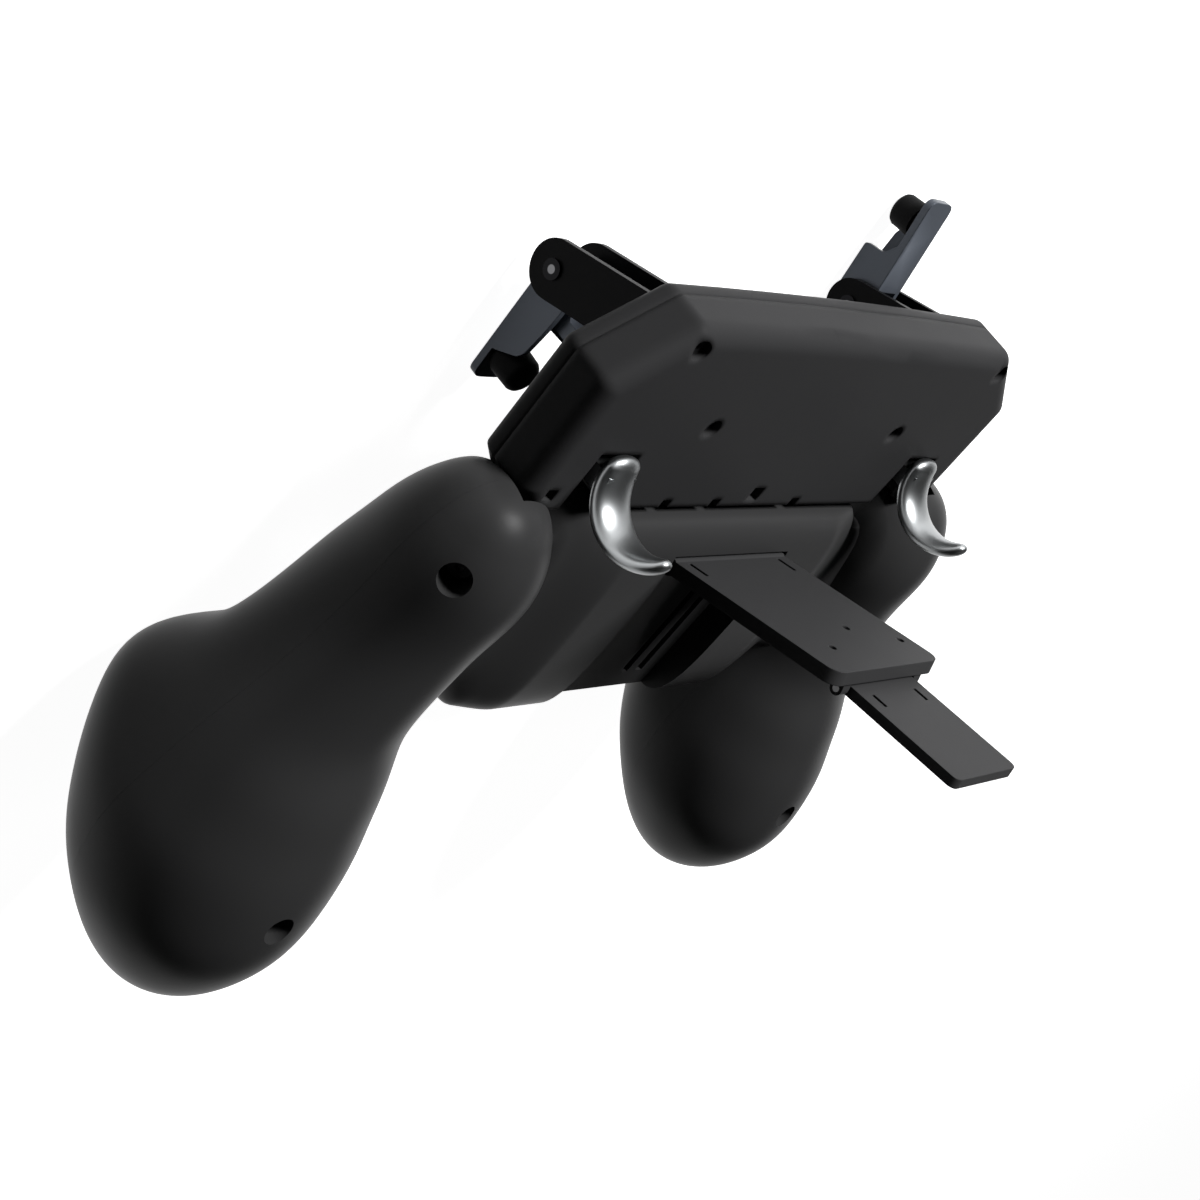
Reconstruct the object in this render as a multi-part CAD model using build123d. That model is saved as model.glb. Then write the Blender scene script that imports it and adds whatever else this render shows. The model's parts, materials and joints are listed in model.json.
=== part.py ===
"""Clip-on game controller for a phone: two horn grips, a sprung clamp, finger triggers and a folding stand.

Everything is built in the controller's own axes: X to the player's right, Y from the screen to the back,
Z up along the back housing. The last step lays it face down, on its horns and its finger brackets.
"""
import os
from math import cos, radians, sin

from build123d import *

# Back housing of the clamp, a slab with cut top corners
house_half_width = 66.8
house_corner_height = 28.0
house_top_half_width = 52.0
house_top_height = 41.0
house_arch = 0.8
house_depth = 13.7
house_lid_depth = 4.2
lid_front_round = 2.6
house_wall = 2.2
house_edge_radius = 3.6
house_foot_chamfer = 3.0
house_corner_radius = 2.5
screw_upper_inset = 1.0
screw_upper_offset = house_top_half_width - screw_upper_inset
screw_upper_height = 37.0
screw_middle_height = 19.8
screw_head_radius = 1.9
screw_head_sink = 1.4
screw_shank_radius = 1.0
screw_length = 7.0
screw_socket_radius = 0.8
screw_socket_depth = 0.7
screw_clearance = 0.15
catch_window = 3.4
catch_height = 3.1
catch_depth = 1.6
foot_notch_width = 2.6
foot_notch_height = 1.8
foot_notch_offsets = (26.3, 11.1, -15.4)
end_notch_inset = 6.2
end_notch_offset = house_half_width - end_notch_inset
end_notch_height = 3.4

face_pad_half_width = 36.0
face_pad_thickness = 1.0
face_pad_low = 2.4
face_pad_high = 12.6

# Slider plate that carries the clamp up out of the bridge, and its two springs
slide_travel = 34.0
slider_half_width = 27.0
slider_thickness = 2.8
slider_back = -4.1
slider_top = 30.0
slider_bottom = -50.5
slider_lug = 3.6
slider_lug_width = 14.0
slider_clearance = 0.15
slider_screw_wall = 2.8
screw_middle_offset = slider_half_width + slider_screw_wall + screw_shank_radius
spring_radius = 2.6
spring_wire = 0.7
spring_length = 11.0
spring_set_out = 11.5
spring_offset = slider_half_width + spring_set_out
spring_room = 3.1

# Finger triggers, curved hooks that stand out of the housing's foot
trigger_inset = 16.6
trigger_offset = house_half_width - trigger_inset
trigger_width = 9.8
trigger_slot_gap = 0.5
trigger_slot_height = 13.2
trigger_pivot_y = -5.8
trigger_pivot_z = 8.0
trigger_hub_radius = 2.6
trigger_pin_radius = 1.2
trigger_hook_y = 11.3
trigger_hook_z = 12.3
trigger_hook_radius = 11.6
trigger_hook_thickness = 3.6
trigger_tip_angle = -30.0
trigger_root_angle = -178.0
trigger_arc_shares = (0, 0.2, 0.4, 0.6, 0.8, 0.93, 1)
trigger_width_shares = (0.9, 0.98, 1, 0.93, 0.76, 0.52, 0.26)
trigger_thick_shares = (0.9, 1, 1, 0.92, 0.75, 0.58, 0.34)
trigger_stem_half_width = 3.6
trigger_tail = 3.4
trigger_travel = 14.0

# Push rod between a trigger and its rocker
chamber_half_width = 6.8
chamber_top = 35.0
rod_y = -8.0
rod_radius = 1.1
rod_top = 16.6
rod_guide_bottom = 12.6
rod_guide_top = 15.4
touch_gap = 0.3

# Finger brackets on the front of the housing, with the arm pins
arm_set_in = 3.2
arm_offset = trigger_offset - arm_set_in
cheek_gap = 9.0
cheek_thickness = 1.5
cheek_slope = 17.5
cheek_nose_radius = 5.4
cheek_foot = 2.2
arm_pin_y = -31.6
arm_pin_z = 25.9
arm_pin_radius = 1.25
arm_pin_head_radius = 1.9
arm_pin_head = 0.5
bore_clearance = 0.06

# Rockers that the push rods lift
rocker_width = 3.8
rocker_hub_radius = 3.4
rocker_beam = 3.2
rocker_end_y = -7.0
rocker_window_gap = 1.0

# Touch arms with their rubber pads
arm_side = 1.7
arm_side_gap = 0.35
arm_front_y = -34.9
arm_web = 1.8
arm_tip_z = -1.0
arm_waist_z = 10.0
arm_back_y = -26.0
arm_elbow_z = 11.6
arm_flip = 171.0
pad_radius = 4.5
pad_length = 6.6
pad_height = 5.6
pad_rim = 0.6
pad_plinth = 0.8
pad_plinth_radius = 3.9

# Bridge between the grips, with its jaw for the phone's lower edge
bridge_half_width = 42.0
bridge_top = -2.0
bridge_bottom = -54.5
bridge_back = 6.0
bridge_front = -11.0
bridge_seam = -7.0
bridge_round = 7.0
bridge_end_round = 5.0
neck_top = -7.5
neck_bottom = -47.0
neck_back = 2.4
neck_round = 5.0
neck_front = -10.0
seam_gap = 0.15
jaw_half_width = 36.0
jaw_ledge_top = -14.0
jaw_ledge = 3.0
jaw_reach = -27.0
jaw_lip = 2.4
jaw_lip_height = 4.5
jaw_pad_thickness = 1.4
bridge_foot_offset = 18.5
bridge_foot_radius = 2.0
bridge_foot_drop = 2.2

# Stand: a pocket in the back of the bridge and a leg of two leaves
pocket_half_width = 18.6
pocket_top = -8.4
pocket_floor = -0.3
pocket_rib_width = 2.2
pocket_rib_height = 1.6
pocket_rib_offset = 8.6
pocket_rib_low = -46.0
pocket_rib_high = -28.0
leg_half_width = 18.0
leg_length = 41.2
leg_thickness = 2.8
leg_lean = 18.4
leg_axis_y = 4.6
leg_axis_z = -11.1
leg_axis_depth = 1.4
leg_pin_radius = 0.9
leg_pin_seat = 2.2
leg_knuckle_radius = 1.9
leg_slit_offset = 14.6
leg_slit_length = 6.6
leg_slit_width = 0.9
leg_hole_radius = 0.8
leg_corner_radius = 3.0
leg_holes = ((8.8, 33.2), (-3.6, 27.6), (-14.6, 33.4))
leaf_half_width = 10.8
leaf_length = 27.5
leaf_thickness = 2.0
leaf_gap = 0.2
leaf_lean = 11.5
leaf_pin_inset = 1.6
leaf_pin_radius = 0.7
leaf_knuckle_radius = 1.3
leaf_ear = 2.4
leaf_ear_gap = 0.25
leaf_corner_radius = 1.6
leaf_slit_length = 3.4
leaf_slit_offset = 7.2
leaf_slit_start = 4.0

# Grips: each horn is a loft through level ovals, given as shares of its length, lean-out and bulb
horn_top = 3.4
horn_length = 120.8
horn_shoulder_out = 66.6
horn_spread = 14.0
horn_shoulder_set = -3.4
horn_set_swing = 8.0
horn_bulb_half_width = 27.2
horn_bulb_half_depth = 27.6
horn_height_shares = (0, 0.02, 0.07, 0.144, 0.276, 0.392, 0.464, 0.51, 0.56, 0.66, 0.773, 0.889, 0.964, 1)
horn_out_shares = (0, 0, 0, 0, 0.186, 0.457, 0.6, 0.66, 0.72, 0.84, 0.92, 0.98, 1, 1)
horn_set_shares = (0, 0, 0, -0.08, -0.33, -0.36, -0.36, -0.5, -0.53, -0.25, 0.25, 0.7, 0.9, 0.95)
horn_width_shares = (0.125, 0.294, 0.47, 0.574, 0.61, 0.684, 0.78, 0.85, 0.915, 0.99, 0.925, 0.684, 0.397, 0.11)
horn_depth_shares = (0.123, 0.29, 0.464, 0.572, 0.609, 0.638, 0.68, 0.84, 0.93, 0.995, 0.93, 0.688, 0.399, 0.11)
horn_seam_y = -4.0
horn_house_gap = 0.6
grip_screw_radius = 3.0
grip_screw_depth = 7.0
grip_screw_shank = 1.3
grip_screw_head = 2.2
grip_screw_places = ((66.6, -3.6, -10.4, 50.0, 8.8), (79.2, -2.0, -83.0, 1.5, 19.0))

# How it lies when put down: face down on horns and brackets
lean = 3.19
overrun = 1.0


def block(x, y, z):
    """Box between two values on each axis."""
    centre = (sum(x) / 2, sum(y) / 2, sum(z) / 2)
    return Pos(*centre) * Box(abs(x[1] - x[0]), abs(y[1] - y[0]), abs(z[1] - z[0]))


def rod_x(x, y, z, radius):
    """Cylinder along X between two values."""
    return Pos(sum(x) / 2, y, z) * Rot(Y=90) * Cylinder(radius, abs(x[1] - x[0]))


def rod_y_axis(x, y, z, radius):
    """Cylinder along Y between two values."""
    return Pos(x, sum(y) / 2, z) * Rot(X=90) * Cylinder(radius, abs(y[1] - y[0]))


def rod_z(x, y, z, radius):
    """Cylinder along Z between two values."""
    return Pos(x, y, sum(z) / 2) * Cylinder(radius, abs(z[1] - z[0]))


def side_plate(face, x):
    """Extrude a face drawn in Y and Z between two X values."""
    width = abs(x[1] - x[0])
    return Pos(min(x), 0, 0) * extrude(Plane.YZ * face, width)


def hinge_turn(body, y, z, angle):
    """Turn a body about a line along X."""
    return Pos(0, y, z) * Rot(X=angle) * Pos(0, -y, -z) * body


def mirrored(body):
    return mirror(body, about=Plane.YZ)


def both(body):
    return [body, mirrored(body)]


# Clamp housing

def house_outline():
    foot = house_half_width - house_foot_chamfer
    edges = Polyline((-foot, 0), (foot, 0), (house_half_width, house_foot_chamfer),
                     (house_half_width, house_corner_height), (house_top_half_width, house_top_height))
    arch = ThreePointArc((house_top_half_width, house_top_height), (0, house_top_height + house_arch),
                         (-house_top_half_width, house_top_height))
    rest = Polyline((-house_top_half_width, house_top_height), (-house_half_width, house_corner_height),
                    (-house_half_width, house_foot_chamfer), (-foot, 0))
    return make_face(Curve() + [edges, arch, rest])


def house_slab(front, back):
    """Slab of the housing's outline between two Y values."""
    return Pos(0, back, 0) * extrude(Plane.XZ * house_outline(), back - front)


def screw_places():
    return [(side * x, z) for side in (1, -1) for x, z in
            ((screw_upper_offset, screw_upper_height), (screw_middle_offset, screw_middle_height))]


def chamber_x():
    return (trigger_offset - chamber_half_width, trigger_offset + chamber_half_width)


def house_shell():
    split = -house_depth + house_lid_depth
    shell = house_slab(split, 0)
    upright = [e for e in shell.edges().filter_by(Axis.Y) if e.center().Z > house_foot_chamfer]
    shell = fillet(upright, house_corner_radius)
    rim = shell.faces().sort_by(Axis.Y)[-1].edges()
    foot = [e for e in rim if abs(e.center().Z) < house_foot_chamfer / 4]
    shell = fillet([e for e in rim if e not in foot], house_edge_radius)
    recess_x = (-slider_half_width, slider_half_width)
    shell -= block(recess_x, (split - overrun, slider_back), (-overrun, slider_top))
    for side in (1, -1):
        x = [side * v for v in chamber_x()]
        shell -= block(x, (split - overrun, -house_wall), (-overrun, chamber_top))
        half_slot = trigger_width / 2 + trigger_slot_gap
        slot_x = (side * trigger_offset - half_slot, side * trigger_offset + half_slot)
        shell -= block(slot_x, (split, overrun), (-overrun, trigger_slot_height))
        pin_x = [side * v for v in (chamber_x()[0] - house_wall, chamber_x()[1] + house_wall)]
        shell -= rod_x(pin_x, trigger_pivot_y, trigger_pivot_z, trigger_pin_radius)
        guide = block(x, (split, -house_wall), (rod_guide_bottom, rod_guide_top))
        guide -= block([side * v for v in trigger_beam_x()], (split - overrun, trigger_pivot_y + trigger_hub_radius),
                       (rod_guide_bottom - overrun, rod_guide_bottom))
        bore = rod_z(side * arm_offset, rod_y, (rod_guide_bottom - overrun, rod_guide_top + overrun),
                     rod_radius + bore_clearance)
        shell += guide - bore
    for x, z in screw_places():
        shell -= rod_y_axis(x, (split - overrun, overrun), z, screw_shank_radius + screw_clearance)
        shell -= rod_y_axis(x, (-screw_head_sink - screw_head_sink, overrun), z, screw_head_radius + screw_clearance)
    half = catch_window / 2
    shell -= block((-half, half), (-catch_depth, overrun), (catch_height - half, catch_height + half))
    for x in foot_notch_offsets:
        half = foot_notch_width / 2
        shell -= block((x - half, x + half), (-catch_depth, overrun), (-overrun, foot_notch_height))
    for side in (1, -1):
        x = [side * end_notch_offset - half, side * end_notch_offset + half]
        z = (end_notch_height - half, end_notch_height + half)
        shell -= block(x, (-catch_depth, overrun), z)
    return shell


def trigger_beam_x():
    return (trigger_offset - trigger_width / 2, trigger_offset + trigger_width / 2)


def house_lid():
    split = -house_depth + house_lid_depth
    lid = house_slab(-house_depth, split)
    upright = [e for e in lid.edges().filter_by(Axis.Y) if e.center().Z > house_foot_chamfer]
    lid = fillet(upright, house_corner_radius)
    front = lid.faces().sort_by(Axis.Y)[0].edges()
    lid = fillet([e for e in front if e.center().Z > house_foot_chamfer / 4], lid_front_round)
    filler_x = (-slider_half_width + slider_clearance, slider_half_width - slider_clearance)
    lid += block(filler_x, (split, slider_back - slider_thickness), (0, slider_top - slider_clearance))
    for side in (1, -1):
        x = arm_window_x(side)
        z = arm_window_z()
        lid -= block(x, (-house_depth - overrun, split + overrun), z)
    for x, z in screw_places():
        lid -= rod_y_axis(x, (-house_depth + house_lid_depth / 3, split + house_depth), z, screw_shank_radius)
    return lid


def face_pad():
    """Cushion on the housing's front that the phone's back rests on."""
    x = (-face_pad_half_width, face_pad_half_width)
    pad = block(x, (-house_depth - face_pad_thickness, -house_depth), (face_pad_low, face_pad_high))
    return chamfer(pad.faces().sort_by(Axis.Y)[0].edges(), face_pad_thickness / 3)


def arm_window_x(side):
    half = rocker_width / 2 + rocker_window_gap
    return (side * arm_offset - half, side * arm_offset + half)


def arm_window_z():
    base = rod_top + touch_gap
    return (base - rocker_window_gap, base + rocker_beam + 2 * rocker_window_gap)


def small_screw(x, z):
    """Cross-head screw that enters from the back."""
    head_top = -screw_head_sink
    head = rod_y_axis(x, (head_top - screw_head_sink, head_top), z, screw_head_radius)
    shank = rod_y_axis(x, (head_top - screw_head_sink - screw_length, head_top - screw_head_sink), z,
                       screw_shank_radius - screw_clearance / 5)
    socket = rod_y_axis(x, (head_top - screw_socket_depth, head_top + overrun), z, screw_socket_radius)
    return head + shank - socket


def slider():
    x = (-slider_half_width + slider_clearance, slider_half_width - slider_clearance)
    y = (slider_back - slider_thickness, slider_back)
    plate = block(x, y, (slider_bottom, slider_top))
    anchor = slider_bottom + spring_length
    for side in (1, -1):
        lug_x = [side * v for v in (slider_half_width - overrun, slider_half_width + slider_lug_width)]
        plate += block(lug_x, y, (anchor, anchor + slider_lug))
    return plate


def clamp_spring(side):
    """Spring between the bridge's floor and a lug of the slider."""
    y = slider_back - slider_thickness / 2
    z = (slider_bottom + touch_gap, slider_bottom + spring_length - touch_gap)
    coil = rod_z(side * spring_offset, y, z, spring_radius)
    return coil - rod_z(side * spring_offset, y, (z[0] - overrun, z[1] + overrun), spring_radius - spring_wire)


# Triggers

def trigger_oval(share, width_share, thick_share):
    """Cross-section of the claw at a share of its arc from root to tip."""
    angle = radians(trigger_root_angle + (trigger_tip_angle - trigger_root_angle) * share)
    radius = trigger_hook_radius - trigger_hook_thickness / 2
    place = (trigger_offset, trigger_hook_y + radius * cos(angle), trigger_hook_z + radius * sin(angle))
    plane = Plane(origin=place, x_dir=(1, 0, 0), z_dir=(0, -sin(angle), cos(angle)))
    return plane * Ellipse(trigger_width / 2 * width_share, trigger_hook_thickness / 2 * thick_share)


def trigger():
    """Claw of ovals that curves out of its slot, on a hub with a stem and a tail for the push rod."""
    x = trigger_beam_x()
    shares = (trigger_arc_shares, trigger_width_shares, trigger_thick_shares)
    claw = loft([trigger_oval(*row) for row in zip(*shares)])
    hub = rod_x(x, trigger_pivot_y, trigger_pivot_z, trigger_hub_radius)
    reach = trigger_hook_y - trigger_hook_radius + trigger_hook_thickness
    inset = trigger_width / 2 - trigger_stem_half_width
    stem = block((x[0] + inset, x[1] - inset), (trigger_pivot_y, reach),
                 (trigger_pivot_z - trigger_hub_radius / 2, trigger_pivot_z + trigger_hub_radius))
    tail_x = (arm_offset - rod_radius, arm_offset + rod_radius + trigger_tail / 2)
    tail = block(tail_x, (trigger_pivot_y - trigger_tail, trigger_pivot_y),
                 (trigger_pivot_z, trigger_pivot_z + trigger_hub_radius))
    body = claw + hub + stem + tail
    return body - rod_x((x[0] - overrun, x[1] + overrun), trigger_pivot_y, trigger_pivot_z,
                        trigger_pin_radius + bore_clearance)


def trigger_pin():
    x = chamber_x()
    return rod_x((x[0] - house_wall, x[1] + house_wall), trigger_pivot_y, trigger_pivot_z, trigger_pin_radius)


def push_rod():
    bottom = trigger_pivot_z + trigger_hub_radius + touch_gap
    return rod_z(arm_offset, rod_y, (bottom, rod_top), rod_radius)


# Finger brackets, rockers and touch arms

def cheek_outline():
    """Cheek drawn in Y and Z: a round nose at the pin, running back and up to the housing."""
    slope = radians(cheek_slope)
    back = -house_depth
    nose = Vector(arm_pin_y, arm_pin_z)
    along = Vector(cos(slope), sin(slope))
    across = Vector(-sin(slope), cos(slope)) * cheek_nose_radius
    upper = nose + across
    lower = nose - across
    upper_end = upper + along * ((back - upper.X) / cos(slope))
    lower_end = lower + along * ((back - lower.X) / cos(slope))
    edges = Polyline(lower, lower_end, upper_end, upper)
    nose_arc = ThreePointArc(upper, nose - along * cheek_nose_radius, lower)
    return make_face(Curve() + [edges, nose_arc])


def cheek_x():
    inner = cheek_gap / 2
    return ((arm_offset - inner - cheek_thickness, arm_offset - inner),
            (arm_offset + inner, arm_offset + inner + cheek_thickness))


def bracket():
    plates = [side_plate(cheek_outline(), x) for x in cheek_x()]
    body = plates[0] + plates[1]
    whole = (cheek_x()[0][0], cheek_x()[1][1])
    slope = radians(cheek_slope)
    rise = (-house_depth - arm_pin_y) * sin(slope) / cos(slope)
    high = arm_pin_z + rise + cheek_nose_radius / cos(slope)
    low = arm_pin_z + rise - cheek_nose_radius / cos(slope)
    foot_high = min(high - cheek_foot, house_top_height - cheek_foot)
    body += block(whole, (-house_depth - cheek_foot, -house_depth), (low, foot_high))
    pin = rod_x((whole[0] - overrun, whole[1] + overrun), arm_pin_y, arm_pin_z, arm_pin_radius)
    return body - pin


def arm_pin():
    x = (cheek_x()[0][0] - arm_pin_head, cheek_x()[1][1] + arm_pin_head)
    pin = rod_x(x, arm_pin_y, arm_pin_z, arm_pin_radius)
    for a, b in ((x[0], x[0] + arm_pin_head), (x[1] - arm_pin_head, x[1])):
        pin += rod_x((a, b), arm_pin_y, arm_pin_z, arm_pin_head_radius)
    return pin


def rocker():
    x = (arm_offset - rocker_width / 2, arm_offset + rocker_width / 2)
    base = rod_top + touch_gap
    hub = rod_x(x, arm_pin_y, arm_pin_z, rocker_hub_radius)
    knee_y = arm_pin_y + rocker_hub_radius + rocker_beam
    outline = Polyline((rocker_end_y, base), (rocker_end_y, base + rocker_beam), (knee_y, base + rocker_beam),
                       (arm_pin_y + rocker_hub_radius / 2, arm_pin_z),
                       (arm_pin_y - rocker_hub_radius / 2, arm_pin_z - rocker_hub_radius),
                       (knee_y - rocker_beam / 2, base), close=True)
    beam = side_plate(make_face(outline), x)
    bore = rod_x((x[0] - overrun, x[1] + overrun), arm_pin_y, arm_pin_z, arm_pin_radius + bore_clearance)
    return hub + beam - bore


def arm_side_outline():
    """Side of a touch arm in Y and Z, wide at the pin and thin behind the pad."""
    back = arm_front_y + arm_web
    edges = Polyline((arm_front_y, arm_pin_z - cheek_nose_radius), (arm_front_y, arm_tip_z), (back, arm_tip_z),
                     (back, arm_waist_z), (arm_back_y, arm_elbow_z), (arm_back_y, arm_pin_z - cheek_nose_radius),
                     close=True)
    return make_face(edges)


def arm_ears_x():
    half = cheek_gap / 2 - arm_side_gap
    return ((arm_offset - half, arm_offset - half + arm_side), (arm_offset + half - arm_side, arm_offset + half))


def touch_arm():
    whole = (arm_ears_x()[0][0], arm_ears_x()[1][1])
    hub_radius = arm_pin_y - arm_front_y - touch_gap
    body = block(whole, (arm_front_y, arm_front_y + arm_web), (arm_tip_z, arm_pin_z - cheek_nose_radius))
    for x in arm_ears_x():
        ear = side_plate(arm_side_outline(), x)
        ear += rod_x(x, arm_pin_y, arm_pin_z, hub_radius)
        ear += block(x, (arm_pin_y - hub_radius, arm_back_y), (arm_pin_z - cheek_nose_radius - overrun, arm_pin_z))
        body += ear
    pin = rod_x((whole[0] - overrun, whole[1] + overrun), arm_pin_y, arm_pin_z, arm_pin_radius + bore_clearance)
    return body - pin


def touch_pad():
    base = arm_front_y + arm_web
    plinth = rod_y_axis(arm_offset, (base, base + pad_plinth), pad_height, pad_plinth_radius)
    pad = rod_y_axis(arm_offset, (base + pad_plinth, base + pad_length), pad_height, pad_radius)
    pad = chamfer(pad.edges().sort_by(Axis.Y)[-1], pad_rim)
    return plinth + pad


# Bridge and jaw

def bridge_body():
    """Bridge block between the grips with a round upper back edge."""
    body = block((-bridge_half_width, bridge_half_width), (bridge_front, bridge_back), (bridge_bottom, bridge_top))
    back = body.faces().sort_by(Axis.Y)[-1].edges()
    body = fillet([back.sort_by(Axis.Z)[0], back.sort_by(Axis.Z)[-1]], bridge_round)
    ends = body.faces().sort_by(Axis.Y)[-1].edges().filter_by(Axis.Z)
    body = fillet(ends, bridge_end_round)
    for side in (1, -1):
        x = [side * v for v in (bridge_half_width - bridge_end_round, horn_shoulder_out)]
        neck = block(x, (neck_front, neck_back), (neck_bottom, neck_top))
        body += fillet(neck.edges().filter_by(Axis.X), neck_round)
        foot_x = (side * bridge_foot_offset - bridge_foot_radius, side * bridge_foot_offset + bridge_foot_radius)
        body += block(foot_x, (bridge_front + bridge_foot_radius, pocket_floor - bridge_foot_radius),
                      (bridge_bottom - bridge_foot_drop, bridge_bottom + bridge_foot_drop))
    return body


def slider_room():
    """Space in the bridge for the slider, its lugs and its springs."""
    y = (slider_back - slider_thickness - slider_clearance, slider_back + slider_clearance)
    x = (-slider_half_width - slider_clearance, slider_half_width + slider_clearance)
    room = block(x, y, (slider_bottom - overrun, bridge_top + overrun))
    middle = slider_back - slider_thickness / 2
    for side in (1, -1):
        lug_x = [side * v for v in (slider_half_width - overrun,
                                    slider_half_width + slider_lug_width + slider_clearance)]
        reach = (middle - spring_room, middle + spring_room)
        lug_top = slider_bottom + spring_length + slider_lug + slide_travel + overrun / 2
        room += block(lug_x, reach, (slider_bottom, lug_top))
    return room


def pocket():
    """Pocket for the folded leg, open at the back and at the foot, with two ribs on its floor."""
    x = (-pocket_half_width, pocket_half_width)
    room = block(x, (pocket_floor, bridge_back + overrun), (bridge_bottom - overrun, pocket_top))
    for side in (1, -1):
        rib_x = (side * pocket_rib_offset - pocket_rib_width / 2, side * pocket_rib_offset + pocket_rib_width / 2)
        groove = block(rib_x, (pocket_floor - pocket_rib_height, pocket_floor), (pocket_rib_low, pocket_rib_high))
        room += groove
    return room


def bridge_back_cover():
    body = bridge_body() & block((-horn_shoulder_out, horn_shoulder_out), (bridge_seam, bridge_back),
                                 (bridge_bottom - bridge_foot_drop, bridge_top))
    body -= slider_room()
    body -= pocket()
    reach = pocket_half_width + leg_pin_seat
    body -= rod_x((-reach, reach), leg_axis_y, leg_axis_z, leg_pin_radius)
    return body - horn_pair()


def bridge_front_cover():
    body = bridge_body() & block((-horn_shoulder_out, horn_shoulder_out), (bridge_front, bridge_seam),
                                 (bridge_bottom - bridge_foot_drop, bridge_top))
    body -= slider_room()
    ledge_y = (jaw_reach, bridge_front)
    x = (-jaw_half_width, jaw_half_width)
    body += block(x, ledge_y, (jaw_ledge_top - jaw_ledge, jaw_ledge_top))
    lip = block(x, (jaw_reach, jaw_reach + jaw_lip), (jaw_ledge_top, jaw_ledge_top + jaw_lip_height))
    body += lip
    return body - horn_pair()


def jaw_pad():
    x = (-jaw_half_width, jaw_half_width)
    return block(x, (jaw_reach + jaw_lip, bridge_front), (jaw_ledge_top, jaw_ledge_top + jaw_pad_thickness))


# Stand

def leg_frame(body):
    """Place a body drawn along +Y from the hinge line, its top face at Z = leg_axis_depth."""
    return Pos(0, leg_axis_y, leg_axis_z) * Rot(X=leg_lean) * body


def leaf_axis():
    """Distance along the leg and depth of the leaf's hinge line, in the leg's own frame."""
    return (leg_length - leaf_pin_inset, leg_axis_depth - leg_thickness - leaf_gap - leaf_knuckle_radius)


def leg():
    top = leg_axis_depth
    plate = block((-leg_half_width, leg_half_width), (0, leg_length), (top - leg_thickness, top))
    corners = plate.edges().filter_by(Axis.Z).group_by(Axis.Y)[-1]
    plate = fillet(corners, leg_corner_radius)
    plate += rod_x((-leg_half_width, leg_half_width), 0, 0, leg_knuckle_radius)
    for side in (1, -1):
        x = (side * leg_slit_offset - leg_slit_width / 2, side * leg_slit_offset + leg_slit_width / 2)
        plate -= block(x, (leg_knuckle_radius, leg_slit_length), (top - leg_thickness - overrun, top + overrun))
    for x, y in leg_holes:
        plate -= rod_z(x, y, (top - leg_thickness - overrun, top + overrun), leg_hole_radius)
    pin_y, pin_z = leaf_axis()
    for side in (1, -1):
        x = [side * v for v in (leaf_half_width + leaf_ear_gap, leaf_half_width + leaf_ear_gap + leaf_ear)]
        plate += block(x, (pin_y - leaf_knuckle_radius, pin_y + leaf_knuckle_radius), (pin_z, top - leg_thickness))
        plate += rod_x(x, pin_y, pin_z, leaf_knuckle_radius)
        plate -= rod_x(x, pin_y, pin_z, leaf_pin_radius)
    plate -= rod_x((-leg_half_width - overrun, leg_half_width + overrun), 0, 0, leg_pin_radius + bore_clearance)
    return leg_frame(plate)


def leaf():
    """Narrow leaf hinged under the leg's end, drawn along +Y from its own hinge line."""
    half = leaf_thickness / 2
    plate = block((-leaf_half_width, leaf_half_width), (0, leaf_length), (-half, half))
    corners = plate.edges().filter_by(Axis.Z).group_by(Axis.Y)[-1]
    plate = fillet(corners, leaf_corner_radius)
    plate += rod_x((-leaf_half_width, leaf_half_width), 0, 0, leaf_knuckle_radius)
    for side in (1, -1):
        x = (side * leaf_slit_offset - leg_slit_width / 2, side * leaf_slit_offset + leg_slit_width / 2)
        plate -= block(x, (leaf_slit_start, leaf_slit_start + leaf_slit_length), (-half - overrun, half + overrun))
    plate -= rod_x((-leaf_half_width - overrun, leaf_half_width + overrun), 0, 0, leaf_pin_radius + bore_clearance)
    pin_y, pin_z = leaf_axis()
    return leg_frame(Pos(0, pin_y, pin_z) * Rot(X=leaf_lean - leg_lean) * plate)


def leaf_pin():
    pin_y, pin_z = leaf_axis()
    reach = leaf_half_width + leaf_ear_gap + leaf_ear
    return leg_frame(rod_x((-reach, reach), pin_y, pin_z, leaf_pin_radius))


def leg_pin():
    reach = pocket_half_width + leg_pin_seat
    return rod_x((-reach, reach), leg_axis_y, leg_axis_z, leg_pin_radius)


# Grips

def horn_oval(height, out, swing, width, depth):
    """One level oval of the right horn, from its five shares."""
    x = horn_shoulder_out + horn_spread * out
    y = horn_shoulder_set + horn_set_swing * swing
    oval = Ellipse(horn_bulb_half_width * width, horn_bulb_half_depth * depth)
    return Pos(x, y, horn_top - horn_length * height) * oval


def horn():
    """Right grip: level ovals from the shoulder down to the round end."""
    shares = (horn_height_shares, horn_out_shares, horn_set_shares, horn_width_shares, horn_depth_shares)
    body = loft([horn_oval(*row) for row in zip(*shares)])
    room = house_half_width + horn_house_gap
    depth = (-house_depth - face_pad_thickness - horn_house_gap, horn_house_gap)
    body -= block((0, room), depth, (-horn_house_gap, house_top_height))
    return body


def horn_pair():
    body = horn()
    return body + mirrored(body)


def grip_screw_frame(place, body):
    """Move a body drawn along +Y from the horn's middle to one screw place, turned about the vertical."""
    x, y, z, turn, _ = place
    return Pos(x, y, z) * Rot(Z=-turn) * body


def grip_screw_seat(place):
    return place[4]


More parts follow.
